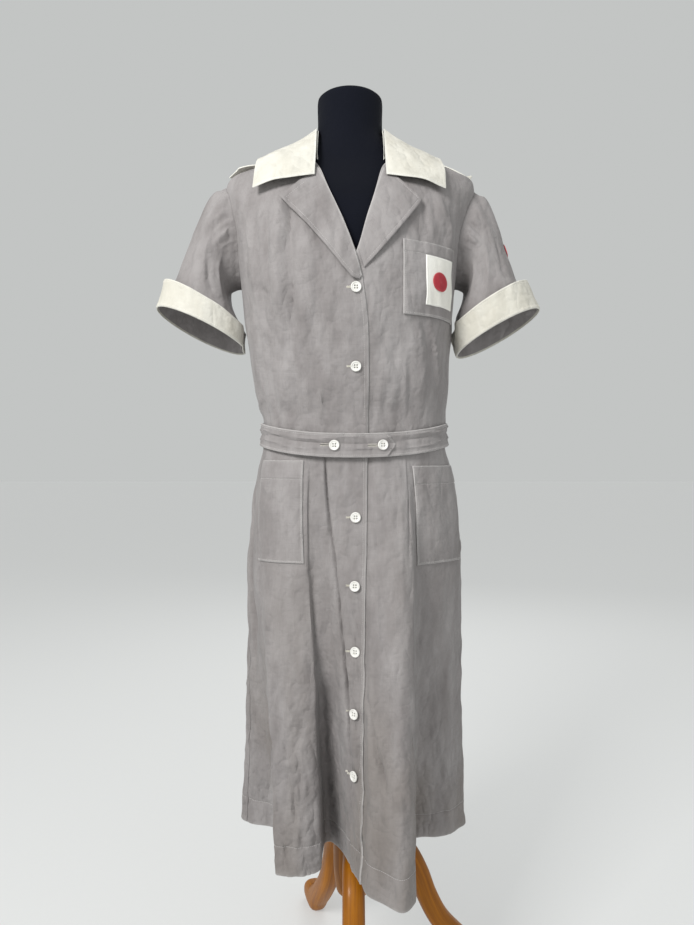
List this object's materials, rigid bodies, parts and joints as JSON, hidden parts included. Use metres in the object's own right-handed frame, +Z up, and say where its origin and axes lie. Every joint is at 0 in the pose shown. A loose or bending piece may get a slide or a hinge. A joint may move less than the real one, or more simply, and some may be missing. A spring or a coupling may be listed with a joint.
{
  "type": "nurse uniform dress on a dress form",
  "caption": "Short-sleeved belted nurse dress, buttoned down the front, with white collar, cuffs and shoulder straps, on a limbless dress form with a wooden tripod foot.",
  "frame": {"origin": "on the floor under the middle of the whole object's box", "axes": "+Z up, the front of the dress faces -Y, the wearer's left side is +X"},
  "size_m": [0.6005, 0.5308, 1.425],
  "materials": {
    "dress_cloth": "plain-woven light grey dress cotton, matt, softly creased",
    "white_cloth": "off-white cotton, doubled and pressed, matt",
    "red_cloth": "plain red felted cloth",
    "button": "milky white four-hole buttons, semi-gloss",
    "jersey": "black knitted jersey cover, matt",
    "wood": "orange-stained and varnished wood with a satin gloss",
    "steel": "plain steel tube"
  },
  "bodies": {
    "root": {"bodice_front_right": "dress_cloth", "bodice_front_left": "dress_cloth", "bodice_back": "dress_cloth", "lapel_right": "dress_cloth", "lapel_left": "dress_cloth", "chest_pocket": "dress_cloth", "skirt_front_right": "dress_cloth", "skirt_front_left": "dress_cloth", "skirt_back": "dress_cloth", "skirt_pocket_right": "dress_cloth", "skirt_pocket_left": "dress_cloth", "belt": "dress_cloth", "sleeve_right": "dress_cloth", "sleeve_left": "dress_cloth", "cuff_right": "white_cloth", "cuff_left": "white_cloth", "collar_fall": "white_cloth", "collar_stand": "white_cloth", "epaulette_right": "white_cloth", "epaulette_left": "white_cloth", "chest_patch": "white_cloth", "chest_disc": "red_cloth", "sleeve_disc": "red_cloth", "button_1": "button", "button_2": "button", "button_3": "button", "button_4": "button", "button_5": "button", "button_6": "button", "button_7": "button", "belt_button_1": "button", "belt_button_2": "button", "form_body": "jersey", "stand_hub": "wood", "leg_front": "wood", "leg_right": "wood", "leg_rear": "wood", "stand_pole": "steel"}
  },
  "joints": []
}
